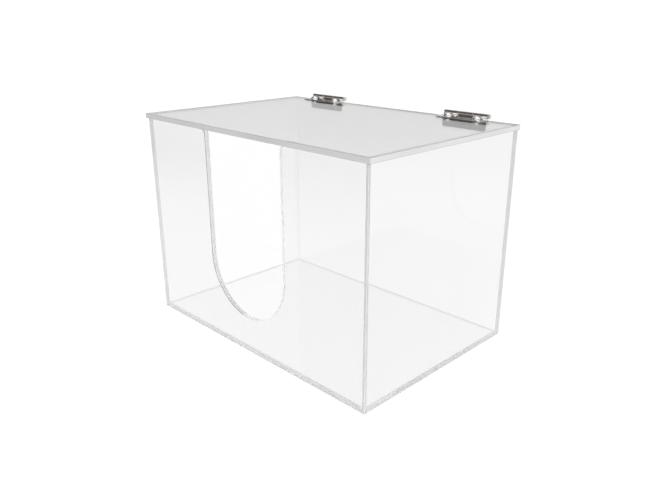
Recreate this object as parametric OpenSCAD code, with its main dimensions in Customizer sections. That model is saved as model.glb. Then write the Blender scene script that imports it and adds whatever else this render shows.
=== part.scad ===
// Clear acrylic dispenser box with a U-shaped access cut-out and a hinged lid.
// Origin at the middle of the underside; the cut-out faces -Y, the hinges are at +Y, up is +Z.
// Four walls, mitred at the upright corners, are bonded round the base, and the lid swings on two butt hinges.

/* [Body] */
// Outside width of the body, left to right
box_w = 305; // [230:1:500]
// Outside depth of the body, front to back
box_d = 206; // [140:1:400]
// Overall height with the lid closed
box_h = 216.15; // [170:0.05:400]
// Thickness of the acrylic sheet of every wall and of the base
sheet_t = 4.75; // [4.5:0.05:8]

/* [Lid] */
// Thickness of the lid
lid_t = 4.75; // [4.5:0.05:8]
// How far the lid stands out past each side wall
lid_side = 2.5; // [0:0.1:5]
// How far the lid stands out past the front wall
lid_front = 1.8; // [0:0.1:8]
// How far the lid's back edge stays in front of the back wall's outer face
lid_back_set = 0.4; // [0.4:0.1:1]
// Hairline gap between the wall tops and the closed lid
lid_gap = 0.15; // [0.05:0.05:0.5]

/* [Access cut-out] */
// Width of the U between its straight sides
cut_w = 107; // [60:1:160]
// How far the middle of the U is from the middle of the front wall
cut_x = 0; // [-20:0.5:20]
// Height of the U's lowest point above the ground
cut_low = 36.5; // [15:0.5:60]
// Radius of the rounded corners where the U meets the wall's top edge
cut_corner = 5; // [1:0.5:12]

/* [Hinges] */
// From the left wall's outer face to the near end of the left hinge
left_margin = 27.5; // [10:0.5:40]
// From the right wall's outer face to the near end of the right hinge
right_margin = 33.5; // [10:0.5:40]
// Length of a hinge along its pin
hinge_len = 51; // [46:1:60]
// Width of a hinge laid open flat
hinge_open_w = 35.3; // [30:0.1:44]
// Thickness of the hinge's sheet metal
leaf_t = 1; // [0.8:0.1:1.2]
// Diameter of the rolled barrel
barrel_d = 5.6; // [4.6:0.1:6.2]
// Diameter of the hinge pin
pin_d = 2.5; // [2:0.1:2.5]
// Distance between the two screws of one leaf
screw_pitch = 33.5; // [24:0.5:36]
// From the pin's axis to the screws of the lid's leaf
lid_row = 8.55; // [8:0.05:12]
// From the pin's axis to the screws of the wall's leaf, which stay below the wall's top
body_row = 10.6; // [10.2:0.1:13]
// Thread diameter of a hinge screw
screw_d = 3.4; // [2.5:0.1:3.5]
// Diameter of a screw's round head
screw_head_d = 8; // [5:0.1:8.4]
// Height of that head
screw_head_h = 2.6; // [1.5:0.1:2.7]
// Depth of thread that a screw has in the acrylic
screw_bite = 3.6; // [2:0.1:3.8]

/* [Hidden] */

clear = [0.90, 0.94, 0.95, 0.35];   // colour of the acrylic
metal = [0.78, 0.78, 0.80];         // colour of the plated steel

wall_h = box_h - lid_t - lid_gap;   // height of the walls
inner_w = box_w - 2 * sheet_t;      // width between the side walls
inner_d = box_d - 2 * sheet_t;      // depth between the front and back walls
cut_r = cut_w / 2;                  // radius of the round bottom of the U
cut_cz = cut_low + cut_r;           // height of that arc's centre

left_hinge_x = -box_w / 2 + left_margin + hinge_len / 2;
right_hinge_x = box_w / 2 - right_margin - hinge_len / 2;
barrel_r = barrel_d / 2;
pin_r = pin_d / 2;
bore_r = pin_r + 0.05;              // running clearance round the pin
stand = barrel_r + 0.05;            // from the pin's axis to the face a leaf lies on
axis_y = box_d / 2 + stand;         // the pin's axis lies just outside the top back edge
axis_z = box_h + stand;
leaf_reach = hinge_open_w / 2;      // from the pin's axis to the free edge of a leaf
notch = barrel_r + 0.6;             // how far a leaf is cut back from the other leaf's knuckles
knuckle = hinge_len / 3;            // three knuckles: the wall's, the lid's, the wall's
play = 0.15;                        // end play of a knuckle at each side
leaf_corner = 2;                    // radius of a leaf's free corners
head_r = screw_head_d / 2;
head_side = 0.6;                    // height of the head's upright side
dome_h = screw_head_h - head_side;
dome_r = (head_r * head_r + dome_h * dome_h) / (2 * dome_h); // sphere of the head's dome
pin_head_r = 2.4;                   // radius of the pin's head
pin_head_h = 2;                     // its length along the pin
pin_dome_r = 3;                     // sphere of its domed end
edge = 0.1;                         // small chamfer on the knuckles' ends

// ---- the five bonded sheets ----

module base_panel() {
    color(clear) translate([-inner_w / 2, -inner_d / 2, 0])
        cube([inner_w, inner_d, sheet_t]);
}

// plan of a wall len long: its outer face is at y = 0, and both ends are mitred
module mitred_plan(len) polygon([[-len / 2, 0], [len / 2, 0], [len / 2 - sheet_t, sheet_t], [-len / 2 + sheet_t, sheet_t]]);

// the U, cut down from the wall's top edge, with its two outward rounded corners
module cut_outline() translate([cut_x, 0]) {
    translate([0, cut_cz]) circle(r = cut_r, $fn = 96);
    translate([-cut_r, cut_cz]) square([cut_w, wall_h - cut_cz + 1]);
    for (s = [-1, 1]) difference() {
        translate([s > 0 ? cut_r - 0.5 : -cut_r - cut_corner, wall_h - cut_corner])
            square([cut_corner + 0.5, cut_corner + 1]);
        translate([s * (cut_r + cut_corner), wall_h - cut_corner])
            circle(r = cut_corner, $fn = 64);
    }
}

module front_panel() {
    color(clear) difference() {
        translate([0, -box_d / 2, 0]) linear_extrude(height = wall_h) mitred_plan(box_w);
        translate([0, -box_d / 2 + sheet_t + 1, 0]) rotate([90, 0, 0])
            linear_extrude(height = sheet_t + 2) cut_outline();
    }
}

module back_panel() {
    color(clear) difference() {
        translate([0, box_d / 2, 0]) rotate([0, 0, 180]) linear_extrude(height = wall_h) mitred_plan(box_w);
        for (x = [left_hinge_x, right_hinge_x]) at_body_screws(x) screw_hole();
    }
}

module left_panel() color(clear) translate([-box_w / 2, 0, 0]) rotate([0, 0, -90])
    linear_extrude(height = wall_h) mitred_plan(box_d);

module right_panel() color(clear) translate([box_w / 2, 0, 0]) rotate([0, 0, 90])
    linear_extrude(height = wall_h) mitred_plan(box_d);

// ---- the lid ----

module lid_panel() {
    color(clear) difference() {
        translate([-box_w / 2 - lid_side, -box_d / 2 - lid_front, box_h - lid_t])
            cube([box_w + 2 * lid_side, box_d + lid_front - lid_back_set, lid_t]);
        for (x = [left_hinge_x, right_hinge_x]) at_lid_screws(x) screw_hole();
    }
}

// ---- hinge parts, drawn round the pin's axis and then moved into place ----

module at_axis(x) translate([x, axis_y, axis_z]) children();

// each screw's own frame: its origin is on the face the leaf lies on, +Z is out of that face
module at_lid_screws(x) at_axis(x) for (s = [-1, 1])
    translate([s * screw_pitch / 2, -lid_row, -stand]) children();

module at_body_screws(x) at_axis(x) for (s = [-1, 1])
    translate([s * screw_pitch / 2, -stand, -body_row]) rotate([-90, 0, 0]) children();

module screw_hole() translate([0, 0, -screw_bite - 0.3])
    cylinder(r = screw_d / 2 + 0.05, h = screw_bite + 1.3, $fn = 48);

// one rolled knuckle from x = a to x = b, with its ends slightly chamfered
module roll(a, b) translate([a, 0, 0]) rotate([90, 0, 90]) rotate_extrude($fn = 96)
    polygon([[bore_r - 0.02, 0], [barrel_r - edge, 0], [barrel_r, edge],
             [barrel_r, b - a - edge], [barrel_r - edge, b - a], [bore_r - 0.02, b - a]]);

// flat part of a leaf: the pin lies on the X axis, the free edge is at y = -leaf_reach.
// An outer leaf is cut back in the middle third, the other one in the two outer thirds.
module leaf_outline(outer) {
    half = hinge_len / 2;
    cut = knuckle / 2 + (outer ? play : -play);
    difference() {
        translate([-half, -leaf_reach]) square([hinge_len, leaf_reach]);
        if (outer) translate([-cut, -notch]) square([2 * cut, notch + 1]);
        else for (s = [-1, 1])
            translate([s > 0 ? cut : -half - 1, -notch]) square([half + 1 - cut, notch + 1]);
        for (s = [-1, 1]) difference() {
            translate([s > 0 ? half - leaf_corner : -half - 1, -leaf_reach - 1])
                square([leaf_corner + 1, leaf_corner + 1]);
            translate([s * (half - leaf_corner), -leaf_reach + leaf_corner])
                circle(r = leaf_corner, $fn = 48);
        }
    }
}

module leaf_holes(row) for (s = [-1, 1]) translate([s * screw_pitch / 2, -row, -stand - 0.5])
    cylinder(r = screw_d / 2 + 0.05, h = leaf_t + 1, $fn = 48);

// leaf with the middle knuckle; it lies flat on the lid
module lid_leaf() difference() {
    union() {
        translate([0, 0, -stand]) linear_extrude(height = leaf_t)
            leaf_outline(false);
        roll(-knuckle / 2 + play, knuckle / 2 - play);
    }
    translate([-hinge_len, 0, 0]) rotate([0, 90, 0]) cylinder(r = bore_r, h = 2 * hinge_len, $fn = 96);
    leaf_holes(lid_row);
}

// leaf with the two outer knuckles, drawn flat in the same way as the other
module body_leaf_flat() difference() {
    union() {
        translate([0, 0, -stand]) linear_extrude(height = leaf_t)
            leaf_outline(true);
        roll(-hinge_len / 2, -knuckle / 2 - play);
        roll(knuckle / 2 + play, hinge_len / 2);
    }
    translate([-hinge_len, 0, 0]) rotate([0, 90, 0]) cylinder(r = bore_r, h = 2 * hinge_len, $fn = 96);
    leaf_holes(body_row);
}

// turned down to lie on the back wall's outer face: -Y becomes -Z, -Z becomes -Y
module body_leaf() mirror([0, 1, -1]) body_leaf_flat();

// part of a sphere of radius r that stands h above z = 0
module cap(r, h) intersection() {
    translate([0, 0, h - r]) sphere(r = r, $fn = 96);
    translate([-r, -r, 0]) cube([2 * r, 2 * r, h + 1]);
}

// the head is a short cylinder whose outer end is rounded off by a sphere
module hinge_pin() rotate([90, 0, 90]) {
    translate([0, 0, -hinge_len / 2 - 0.3]) cylinder(r = pin_r, h = hinge_len + 0.5, $fn = 96);
    translate([0, 0, hinge_len / 2 + 0.1]) intersection() {
        cylinder(r = pin_head_r, h = pin_head_h + 1, $fn = 96);
        translate([0, 0, pin_head_h - pin_dome_r]) sphere(r = pin_dome_r, $fn = 96);
    }
}

// round-head screw with a cross recess; its origin is on the face below the leaf
module screw() difference() {
    union() {
        translate([0, 0, -screw_bite]) cylinder(r = screw_d / 2, h = screw_bite + leaf_t + 0.02, $fn = 48);
        translate([0, 0, leaf_t]) cylinder(r = head_r, h = head_side, $fn = 96);
        translate([0, 0, leaf_t + head_side]) cap(dome_r, dome_h);
    }
    for (a = [0, 90]) rotate([0, 0, a])
        translate([-1.9, -0.4, leaf_t + screw_head_h - 1.2]) cube([3.8, 0.8, 3]);
}

module left_hinge_lid_leaf() color(metal) at_axis(left_hinge_x) lid_leaf();
module left_hinge_body_leaf() color(metal) at_axis(left_hinge_x) body_leaf();
module left_hinge_pin() color(metal) at_axis(left_hinge_x) hinge_pin();
module left_hinge_lid_screws() color(metal) at_lid_screws(left_hinge_x) screw();
module left_hinge_body_screws() color(metal) at_body_screws(left_hinge_x) screw();
module right_hinge_lid_leaf() color(metal) at_axis(right_hinge_x) lid_leaf();
module right_hinge_body_leaf() color(metal) at_axis(right_hinge_x) body_leaf();
module right_hinge_pin() color(metal) at_axis(right_hinge_x) hinge_pin();
module right_hinge_lid_screws() color(metal) at_lid_screws(right_hinge_x) screw();
module right_hinge_body_screws() color(metal) at_body_screws(right_hinge_x) screw();

base_panel();
front_panel();
back_panel();
left_panel();
right_panel();
lid_panel();
left_hinge_lid_leaf();
left_hinge_body_leaf();
left_hinge_pin();
left_hinge_lid_screws();
left_hinge_body_screws();
right_hinge_lid_leaf();
right_hinge_body_leaf();
right_hinge_pin();
right_hinge_lid_screws();
right_hinge_body_screws();
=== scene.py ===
import bpy, bmesh, math
from mathutils import Matrix, Vector


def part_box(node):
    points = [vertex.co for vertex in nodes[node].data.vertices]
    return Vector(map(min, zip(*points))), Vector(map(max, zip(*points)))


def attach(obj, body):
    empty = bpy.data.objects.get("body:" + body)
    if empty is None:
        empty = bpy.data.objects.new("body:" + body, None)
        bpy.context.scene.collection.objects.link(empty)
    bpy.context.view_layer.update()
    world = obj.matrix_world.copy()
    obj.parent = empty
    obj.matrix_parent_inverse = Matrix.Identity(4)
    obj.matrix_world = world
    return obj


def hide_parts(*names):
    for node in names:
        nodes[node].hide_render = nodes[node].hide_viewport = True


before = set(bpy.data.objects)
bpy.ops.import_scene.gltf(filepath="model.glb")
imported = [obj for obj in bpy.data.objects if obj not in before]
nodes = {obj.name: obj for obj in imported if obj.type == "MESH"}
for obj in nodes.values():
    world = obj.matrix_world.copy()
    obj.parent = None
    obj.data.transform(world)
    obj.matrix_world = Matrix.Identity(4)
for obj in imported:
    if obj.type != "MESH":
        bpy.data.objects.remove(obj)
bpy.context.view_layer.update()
scene = bpy.context.scene
MM = 0.001

# ------------------------------------------------------------------ camera
IMG_W, IMG_H = 667, 500
FOCAL_PX = 650.39
cam_data = bpy.data.cameras.new("camera")
cam_data.sensor_fit = "HORIZONTAL"
cam_data.sensor_width = 36.0
cam_data.lens = FOCAL_PX / IMG_W * 36.0
cam_data.clip_start, cam_data.clip_end = 0.01, 2000
cam = bpy.data.objects.new("camera", cam_data)
scene.collection.objects.link(cam)
back = Vector((0.66464, -0.66418, 0.34222)).normalized()
right = Vector((0.70686, 0.70735, 0.0)).normalized()
up = back.cross(right).normalized()
rot = Matrix((right, up, back)).transposed().to_4x4()
cam.matrix_world = Matrix.Translation((0.459623, -0.445962, 0.312778)) @ rot
scene.camera = cam

# ------------------------------------------------------------------ render look
scene.view_settings.view_transform = "Standard"
scene.view_settings.look = "None"
scene.view_settings.exposure = 0
scene.view_settings.gamma = 1
cy = scene.cycles
cy.max_bounces = 48
cy.diffuse_bounces = 16
cy.glossy_bounces = 48
cy.transmission_bounces = 48
cy.transparent_max_bounces = 32
cy.volume_bounces = 0
cy.caustics_reflective = True
cy.caustics_refractive = True
cy.blur_glossy = 0.0
cy.sample_clamp_indirect = 6.0


# ------------------------------------------------------------------ node helpers
def node(nt, kind, **kw):
    n = nt.nodes.new(kind)
    for k, v in kw.items():
        setattr(n, k, v)
    return n


def new_material(name):
    m = bpy.data.materials.new(name)
    m.use_nodes = True
    nt = m.node_tree
    nt.nodes.clear()
    out = node(nt, "ShaderNodeOutputMaterial")
    return m, nt, out


def noise(nt, coords, scale, detail=2.0, rough=0.5, stretch=None):
    src = coords
    if stretch:
        mp = node(nt, "ShaderNodeMapping")
        mp.inputs["Scale"].default_value = stretch
        nt.links.new(coords, mp.inputs["Vector"])
        src = mp.outputs["Vector"]
    n = node(nt, "ShaderNodeTexNoise")
    n.inputs["Scale"].default_value = scale
    n.inputs["Detail"].default_value = detail
    n.inputs["Roughness"].default_value = rough
    nt.links.new(src, n.inputs["Vector"])
    return n.outputs["Fac"]


def spread(nt, value, lo, hi, a=0.3, b=0.7):
    """value between a and b becomes lo to hi"""
    r = node(nt, "ShaderNodeMapRange")
    r.inputs["From Min"].default_value = a
    r.inputs["From Max"].default_value = b
    r.inputs["To Min"].default_value = lo
    r.inputs["To Max"].default_value = hi
    nt.links.new(value, r.inputs["Value"])
    return r.outputs["Result"]


def bump(nt, height, distance, strength=1.0, normal=None):
    b = node(nt, "ShaderNodeBump")
    b.inputs["Strength"].default_value = strength
    b.inputs["Distance"].default_value = distance
    nt.links.new(height, b.inputs["Height"])
    if normal is not None:
        nt.links.new(normal, b.inputs["Normal"])
    return b.outputs["Normal"]


# ------------------------------------------------------------------ acrylic
TINT, BASE_TINT = 0.925, 0.915
EDGE_TINT, EDGE_CLEAR = 0.76, 0.25
# painted light: a lighter satin colour for the lid's right side only, as if lit from the right
LID_SIDE_PAINTED_LIGHT_TINT = 0.83
CUT_TINT, CUT_CLEAR = 0.88, 0.75
ARRIS_TINT, ARRIS_CLEAR = 0.36, 0.25
# painted shade: a dark grey copy of the arris colour, for the cut-out's outer arris at the left and the lid's lower
# arris at the front and the right
CUT_ARRIS_PAINTED_SHADE_TINT = 0.22
SANDED_TINT, SANDED_CLEAR = 0.93, 0.30
BOND_TINT, BOND_CLEAR, WETTED_CLEAR = 0.97, 0.15, 0.72
SMEAR_TINT, SMEAR_CLEAR = 0.93, 0.88


def acrylic_base(name, tint, clearness, ior):
    m, nt, out = new_material(name)
    b = node(nt, "ShaderNodeBsdfPrincipled")
    b.inputs["Base Color"].default_value = (tint, tint, tint, 1)
    b.inputs["IOR"].default_value = ior
    b.inputs["Transmission Weight"].default_value = clearness
    b.inputs["Roughness"].default_value = 0.0
    nt.links.new(b.outputs[0], out.inputs["Surface"])
    tc = node(nt, "ShaderNodeTexCoord")
    return m, nt, b, tc.outputs["Object"]


def acrylic_face(name, tint):
    """broad faces of cast sheet: clear, with the faint waviness of the casting"""
    m, nt, b, co = acrylic_base(name, tint, 1.0, 1.49)
    wave = noise(nt, co, 22.0, 1.0)
    nt.links.new(bump(nt, wave, 0.015 * MM), b.inputs["Normal"])
    return m


def acrylic_edge(name, tint, clearness, rough=0.31):
    """sawn and polished edges: satin, with fine streaks along the cut"""
    m, nt, b, co = acrylic_base(name, tint, clearness, 1.49)
    b.inputs["Roughness"].default_value = rough
    streak = noise(nt, co, 1.0, 3.0, 0.6, (160, 160, 2600))
    nt.links.new(bump(nt, streak, 0.004 * MM), b.inputs["Normal"])
    return m


def acrylic_contact():
    """part of a broad face that another sheet is bonded to: acrylic against acrylic, so nothing bends or reflects"""
    return acrylic_base("bonded_acrylic_contact", 1.0, 1.0, 1.0)[0]


def acrylic_bond(name, clearness):
    """sawn sheet end inside a bonded joint: pale and cloudy, or well wetted by the cement and nearly clear"""
    m, nt, b, co = acrylic_base(name, BOND_TINT, clearness, 1.0)
    b.inputs["Roughness"].default_value = 0.38
    cloud = noise(nt, co, 90.0, 3.0)
    nt.links.new(bump(nt, cloud, 0.02 * MM), b.inputs["Normal"])
    return m


# ------------------------------------------------------------------ plated metal
def plated(name, dark, light, rough_lo, rough_hi):
    m, nt, out = new_material(name)
    b = node(nt, "ShaderNodeBsdfPrincipled")
    b.inputs["Metallic"].default_value = 1.0
    nt.links.new(b.outputs[0], out.inputs["Surface"])
    tc = node(nt, "ShaderNodeTexCoord")
    co = tc.outputs["Object"]
    cloud = noise(nt, co, 180.0, 3.0)
    ramp = node(nt, "ShaderNodeValToRGB")
    ramp.color_ramp.elements[0].position = 0.3
    ramp.color_ramp.elements[0].color = (*dark, 1)
    ramp.color_ramp.elements[1].position = 0.7
    ramp.color_ramp.elements[1].color = (*light, 1)
    nt.links.new(cloud, ramp.inputs[0])
    nt.links.new(ramp.outputs["Color"], b.inputs["Base Color"])
    haze = noise(nt, co, 520.0, 4.0, 0.6)
    nt.links.new(spread(nt, haze, rough_lo, rough_hi), b.inputs["Roughness"])
    fine = noise(nt, co, 1.0, 2.0, 0.5, (300, 2600, 2600))
    nt.links.new(bump(nt, fine, 0.0012 * MM), b.inputs["Normal"])
    return m


clear = acrylic_face("clear_acrylic", TINT)
clear_base = acrylic_face("clear_acrylic_base", BASE_TINT)
satin = acrylic_edge("satin_acrylic_edge", EDGE_TINT, EDGE_CLEAR)
arris = acrylic_edge("broken_acrylic_arris", ARRIS_TINT, ARRIS_CLEAR)
# painted shade: a dark, opaque arris colour where these arrises look dark
cut_arris_painted_shade = acrylic_edge("broken_cut_arris_painted_shade", CUT_ARRIS_PAINTED_SHADE_TINT, 0.0)
sanded = acrylic_edge("sanded_acrylic_corner", SANDED_TINT, SANDED_CLEAR)
polished = acrylic_edge("polished_acrylic_edge", CUT_TINT, CUT_CLEAR, 0.14)
contact = acrylic_contact()
bond = acrylic_bond("bonded_acrylic_end", BOND_CLEAR)
wetted = acrylic_bond("wetted_acrylic_end", WETTED_CLEAR)
cloudy = acrylic_bond("cloudy_acrylic_end", 0.0)
smear = acrylic_edge("cement_smear", SMEAR_TINT, SMEAR_CLEAR)
# painted light: the lid's right side gets this lighter copy of the satin edge
lid_side_painted_light = acrylic_edge("satin_lid_side_painted_light", LID_SIDE_PAINTED_LIGHT_TINT, EDGE_CLEAR)
leaf_metal = plated("plated_leaf", (0.89, 0.875, 0.86), (0.94, 0.93, 0.915), 0.05, 0.11)
pin_metal = plated("plated_pin", (0.62, 0.61, 0.60), (0.72, 0.71, 0.70), 0.10, 0.20)
screw_metal = plated("plated_screw", (0.91, 0.90, 0.89), (0.96, 0.95, 0.94), 0.05, 0.12)


# ------------------------------------------------------------------ sheet pieces
OVER = 0.02 * MM      # a bonded end runs this far into the sheet beside it
ARRIS = 0.30 * MM     # broken arris on free edges
BEAD = 1.7 * MM       # width of the cement smeared along the inner left back corner, on each wall
SAND = 0.36 * MM      # what is sanded off the near upright corner, along each wall; the others get less
TOL = 1e-6
IX, IY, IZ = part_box("base_panel")[1]  # inner faces of the walls, and the top of the base
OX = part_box("front_panel")[1][0]      # outer faces of the walls
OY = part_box("left_panel")[1][1]
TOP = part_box("left_panel")[1][2]      # top of the walls
CLEAR, SATIN, CONTACT, BOND, BROKEN, WETTED, POLISHED, CUT_ARRIS_PAINTED_SHADE, SANDED, BASE, SMEAR, LID_SIDE_PAINTED_LIGHT, CLOUDY = range(13)


def on(e, axis, value):
    return all(abs(v.co[axis] - value) < TOL for v in e.verts)


def prism(near_ring, far_ring):
    """closed solid between two rings with the same number of points"""
    bm = bmesh.new()
    a = [bm.verts.new(c) for c in near_ring]
    b = [bm.verts.new(c) for c in far_ring]
    bm.faces.new(a)
    bm.faces.new(b[::-1])
    for i in range(len(a)):
        j = (i + 1) % len(a)
        bm.faces.new([a[i], a[j], b[j], b[i]])
    bmesh.ops.recalc_face_normals(bm, faces=bm.faces)
    return bm


def bevel_edges(bm, pick, width=ARRIS, segments=2):
    es = [e for e in bm.edges if len(e.link_faces) == 2 and e.calc_face_angle(0) > math.radians(30) and pick(e)]
    bmesh.ops.bevel(bm, geom=es, offset=width, segments=segments, profile=0.5, affect="EDGES", clamp_overlap=True)


def split(bm, axis, value):
    co, no = Vector((0, 0, 0)), Vector((0, 0, 0))
    co[axis], no[axis] = value, 1
    bmesh.ops.bisect_plane(bm, geom=bm.verts[:] + bm.edges[:] + bm.faces[:], dist=1e-7, plane_co=co, plane_no=no)


def finish_mesh(bm, name, body, replaced, thin, joined):
    """thin: the sheet's thin direction. joined: the material of a bonded face, or None for a free one"""
    bmesh.ops.recalc_face_normals(bm, faces=bm.faces)
    for e in bm.edges:
        e.smooth = len(e.link_faces) == 2 and e.calc_face_angle(0) < math.radians(12)
    for f in bm.faces:
        f.smooth = True
        c, n = f.calc_center_median(), f.normal
        kind = joined(c, n)
        if kind is None:
            if abs(n[thin]) > 0.999:
                kind = CLEAR
            elif abs(n[thin]) < 0.02:
                kind = CLEAR if thin != 2 and n.z < -0.99 and c.z < 0.0005 else SATIN
            else:
                kind = BROKEN
        f.material_index = kind
    me = bpy.data.meshes.new(name)
    bm.to_mesh(me)
    bm.free()
    for m in (clear, satin, contact, bond, arris, wetted, polished, cut_arris_painted_shade, sanded, clear_base, smear, lid_side_painted_light,
              cloudy):
        me.materials.append(m)
    ob = bpy.data.objects.new(name, me)
    scene.collection.objects.link(ob)
    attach(ob, body)
    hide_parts(*replaced)
    return ob


def sand_corners(bm, signs):
    """takes a hair off the upright outer corners, square to the mitre"""
    for sx, sy in signs:
        off = SAND / 2 if (sx, sy) == (1, -1) else SAND / 5
        res = bmesh.ops.bisect_plane(bm, geom=bm.verts[:] + bm.edges[:] + bm.faces[:], dist=1e-7, clear_outer=True,
                                     plane_co=Vector((sx * (OX - off), sy * (OY - off), 0)),
                                     plane_no=Vector((sx, sy, 0)).normalized())
        rim = [e for e in res["geom_cut"] if isinstance(e, bmesh.types.BMEdge)]
        bmesh.ops.edgeloop_fill(bm, edges=rim)


def ring(z, pts):
    return [(x, y, z) for x, y in pts]


def wall_joint(c, n, mitre):
    """mitred ends, and the strip along the foot that the base is bonded to"""
    if abs(n.z) < 0.02 and abs(abs(n.x) - abs(n.y)) < 0.05:
        return SANDED if n.x * c.x > 0 and n.y * c.y > 0 else mitre
    inner = (abs(c.x) < OX - 4 * MM or abs(n.x) > 0.9) and abs(c.x) < IX + TOL and abs(c.y) < IY + TOL
    if inner and abs(n.z) < 0.02 and c.z < IZ:
        return CONTACT
    if (n.x > 0.99 and c.x < 0 and c.y > IY - BEAD) or (n.y < -0.99 and c.y > 0 and c.x < BEAD - IX):
        return SMEAR
    return None


# base: bonded on its four sides, best at the left and the back
pts = [(-IX - OVER, -IY - OVER), (IX + OVER, -IY - OVER), (IX + OVER, IY + OVER), (-IX - OVER, IY + OVER)]
finish_mesh(prism(ring(0, pts), ring(IZ, pts)), "base_clear", "box", ["base_panel"], 2,
            lambda c, n: BASE if abs(n.z) > 0.5 else WETTED if n.y > 0.5 or n.x < -0.5 else BOND)

# side walls: their mitred ends run a hair into the front and back walls
for sx, name, cad in ((-1, "left_clear", "left_panel"), (1, "right_clear", "right_panel")):
    pts = [(sx * OX, -OY), (sx * OX, OY), (sx * IX, IY + 1.5 * OVER), (sx * IX, -IY - 1.5 * OVER)]
    bm = prism(ring(0, pts), ring(TOP, pts))
    bevel_edges(bm, lambda e: (on(e, 2, TOP) and (on(e, 0, sx * OX) or on(e, 0, sx * IX)))
                or (on(e, 2, 0) and on(e, 0, sx * OX)))
    sand_corners(bm, ((sx, -1), (sx, 1)))
    split(bm, 2, IZ)
    split(bm, 1, IY - BEAD)
    finish_mesh(bm, name, "box", [cad], 0, lambda c, n: wall_joint(c, n, BOND if c.y < 0 else WETTED if c.x < 0 else CLOUDY))

# back wall
pts = [(-OX, OY), (OX, OY), (IX, IY), (-IX, IY)]
bm = prism(ring(0, pts), ring(TOP, pts))
bevel_edges(bm, lambda e: (on(e, 2, TOP) and (on(e, 1, OY) or on(e, 1, IY))) or (on(e, 2, 0) and on(e, 1, OY)))
sand_corners(bm, ((-1, 1), (1, 1)))
split(bm, 2, IZ)
split(bm, 0, BEAD - IX)
finish_mesh(bm, "back_clear", "box", ["back_panel"], 1, lambda c, n: wall_joint(c, n, CONTACT))

# front wall: outline with the U cut-out, mitred at both ends
CUT_R, CUT_X, CUT_LOW, CORNER = 53.5 * MM, 0.0, 36.5 * MM, 5.0 * MM
cz = CUT_LOW + CUT_R
outline = [(-OX, 0), (OX, 0), (OX, TOP)]
N, M = 12, 120
for i in range(N + 1):      # right top corner, from the top edge down into the straight side
    a = math.pi / 2 + i / N * math.pi / 2
    outline.append((CUT_X + CUT_R + CORNER + CORNER * math.cos(a), TOP - CORNER + CORNER * math.sin(a)))
for i in range(M + 1):      # round bottom, right to left
    a = -i / M * math.pi
    outline.append((CUT_X + CUT_R * math.cos(a), cz + CUT_R * math.sin(a)))
for i in range(N + 1):
    a = i / N * math.pi / 2
    outline.append((CUT_X - CUT_R - CORNER + CORNER * math.cos(a), TOP - CORNER + CORNER * math.sin(a)))
outline.append((-OX, TOP))


def inward(x):
    return math.copysign(IX, x) if abs(x) > OX - TOL else x


bm = prism([(x, -OY, z) for x, z in outline], [(inward(x), -IY, z) for x, z in outline])
bmesh.ops.dissolve_degenerate(bm, dist=1e-7, edges=bm.edges)
bevel_edges(bm, lambda e: (on(e, 1, -OY) or on(e, 1, -IY)) and not (on(e, 0, OX) or on(e, 0, -OX) or on(e, 0, IX) or on(e, 0, -IX))
            and not (on(e, 2, 0) and on(e, 1, -IY)))
sand_corners(bm, ((-1, -1), (1, -1)))
split(bm, 2, IZ)


def front_face(c, n):
    """the cut-out's edge is polished; it is the only edge between the top and the foot that isn't a joint"""
    if abs(c.x) < OX - 10 * MM and IZ < c.z < TOP - 0.5 * MM:
        if abs(n.y) < 0.02:
            return POLISHED
        # the arrises are left dull at the left and up the straight sides, and polished round the bottom; the outer
        # arris at the left is also darkened with painted shade
        if -0.98 < n.y < -0.02:
            return CUT_ARRIS_PAINTED_SHADE if c.x < -8 * MM else POLISHED if c.z < cz else SATIN
        if 0.02 < n.y < 0.98:
            return BROKEN if c.x < 0 and c.z > cz - 15 * MM else POLISHED
    return wall_joint(c, n, CONTACT)


finish_mesh(bm, "front_clear", "box", ["front_panel"], 1, front_face)

# lid
lo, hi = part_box("lid_panel")
pts = [(lo[0], lo[1]), (hi[0], lo[1]), (hi[0], hi[1]), (lo[0], hi[1])]
bm = prism(ring(lo[2], pts), ring(hi[2], pts))
bevel_edges(bm, lambda e: True, 0.24 * MM)


def lid_face(c, n):
    """the right side is made a little lighter with painted light; the lower arris at the front and the right is
    dull, darkened with painted shade
    """
    if n.x > 0.99:
        return LID_SIDE_PAINTED_LIGHT
    if -0.98 < n.z < -0.02 and (n.x > 0.1 or n.y < -0.1):
        return CUT_ARRIS_PAINTED_SHADE
    return None


finish_mesh(bm, "lid_clear", "lid", ["lid_panel"], 2, lid_face)

# ------------------------------------------------------------------ hinges
for n_, o in nodes.items():
    if "hinge" in n_:
        o.data.materials.clear()
        o.data.materials.append(screw_metal if "screws" in n_ else pin_metal if n_.endswith("pin") else leaf_metal)

# ------------------------------------------------------------------ floor and light
me = bpy.data.meshes.new("floor")
R = 300
me.from_pydata([(-R, -R, -0.0002), (R, -R, -0.0002), (R, R, -0.0002), (-R, R, -0.0002)], [], [(0, 1, 2, 3)])
floor = bpy.data.objects.new("floor", me)
scene.collection.objects.link(floor)
fm, nt, out = new_material("floor")
em = node(nt, "ShaderNodeEmission")
em.inputs["Strength"].default_value = 1.0
tc = node(nt, "ShaderNodeTexCoord")
# light falls off across the floor on the side away from the main light, at the front left
slope = node(nt, "ShaderNodeVectorMath", operation="DOT_PRODUCT")
slope.inputs[1].default_value = (-0.292, -0.956, 0.0)
nt.links.new(tc.outputs["Object"], slope.inputs[0])
fall = node(nt, "ShaderNodeMapRange", interpolation_type="SMOOTHSTEP")
fall.inputs["From Min"].default_value = 0.292 + 0.02
fall.inputs["From Max"].default_value = 0.292 + 0.60
fall.inputs["To Min"].default_value = 1.08
fall.inputs["To Max"].default_value = 0.50
nt.links.new(slope.outputs["Value"], fall.inputs["Value"])
nt.links.new(fall.outputs["Result"], em.inputs["Color"])
nt.links.new(em.outputs[0], out.inputs["Surface"])
me.materials.append(fm)

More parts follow.
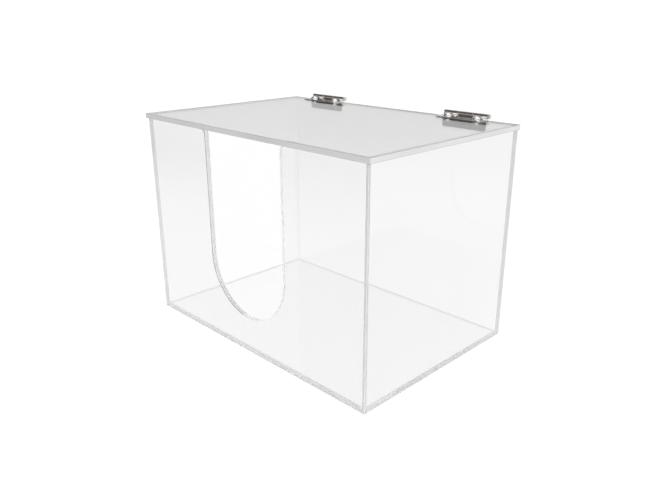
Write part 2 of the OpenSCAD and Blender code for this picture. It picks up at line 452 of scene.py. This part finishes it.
# world: a pale backdrop round the table, with a dark side at the left front for the metal to pick up
world = bpy.data.worlds.new("world")
scene.world = world
world.use_nodes = True
nt = world.node_tree
nt.nodes.clear()
out = node(nt, "ShaderNodeOutputWorld")
bg = node(nt, "ShaderNodeBackground")
tc = node(nt, "ShaderNodeTexCoord")
sep = node(nt, "ShaderNodeSeparateXYZ")
nt.links.new(tc.outputs["Generated"], sep.inputs[0])


def math_node(op, a, b=None, clamp=False):
    n = node(nt, "ShaderNodeMath", operation=op, use_clamp=clamp)
    for i, v in enumerate((a, b)):
        if v is None:
            continue
        if isinstance(v, (int, float)):
            n.inputs[i].default_value = v
        else:
            nt.links.new(v, n.inputs[i])
    return n.outputs[0]


def step(value, a, b):
    r = node(nt, "ShaderNodeMapRange", interpolation_type="SMOOTHSTEP")
    r.inputs["From Min"].default_value = a
    r.inputs["From Max"].default_value = b
    nt.links.new(value, r.inputs["Value"])
    return r.outputs["Result"]


# pale backdrop: level by height above the horizon
ramp = node(nt, "ShaderNodeValToRGB")
cr = ramp.color_ramp
LEVELS = [(0.035, 1.08), (0.07, 0.66), (0.24, 0.66), (0.34, 0.98), (0.58, 0.98), (0.68, 0.80), (0.80, 0.80), (0.88, 1.25)]
cr.elements[0].position, cr.elements[0].color = LEVELS[0][0], (LEVELS[0][1],) * 3 + (1,)
cr.elements[1].position, cr.elements[1].color = LEVELS[-1][0], (LEVELS[-1][1],) * 3 + (1,)
for p, v in LEVELS[1:-1]:
    e = cr.elements.new(p)
    e.color = (v, v, v, 1)
nt.links.new(sep.outputs["Z"], ramp.inputs[0])

# dark side: centred on DARK_AZ, from a little above the horizon upwards
DARK_AZ, DARK_HALF = math.radians(200), math.radians(40)
flat = math_node("SQRT", math_node("ADD", math_node("MULTIPLY", sep.outputs["X"], sep.outputs["X"]),
                                   math_node("MULTIPLY", sep.outputs["Y"], sep.outputs["Y"])))
along = math_node("ADD", math_node("MULTIPLY", sep.outputs["X"], math.cos(DARK_AZ)),
                  math_node("MULTIPLY", sep.outputs["Y"], math.sin(DARK_AZ)))
side = math_node("DIVIDE", along, math_node("MAXIMUM", flat, 0.001))
mask = math_node("MULTIPLY", step(side, math.cos(DARK_HALF) - 0.04, math.cos(DARK_HALF) + 0.04),
                 step(sep.outputs["Z"], 0.04, 0.09), clamp=True)
mask = math_node("MULTIPLY", mask, node(nt, "ShaderNodeLightPath").outputs["Is Glossy Ray"])
mix = node(nt, "ShaderNodeMix", data_type="RGBA")
nt.links.new(mask, mix.inputs["Factor"])
nt.links.new(ramp.outputs["Color"], mix.inputs["A"])
mix.inputs["B"].default_value = (0.10, 0.09, 0.084, 1)
nt.links.new(mix.outputs["Result"], bg.inputs["Color"])
# the main light stands at the right: brighter there and dimmer opposite
KEY_AZ, KEY_GAIN, FILL = math.radians(20), 0.30, 0.26
key = math_node("ADD", math_node("MULTIPLY", sep.outputs["X"], math.cos(KEY_AZ) * KEY_GAIN),
                math_node("MULTIPLY", sep.outputs["Y"], math.sin(KEY_AZ) * KEY_GAIN))
path = node(nt, "ShaderNodeLightPath")
key = math_node("MULTIPLY", key, path.outputs["Is Diffuse Ray"])
fill = math_node("MULTIPLY", math_node("MINIMUM", path.outputs["Diffuse Depth"], 1.0), FILL)
nt.links.new(math_node("ADD", math_node("ADD", key, fill), 1.0), bg.inputs["Strength"])
nt.links.new(bg.outputs[0], out.inputs["Surface"])
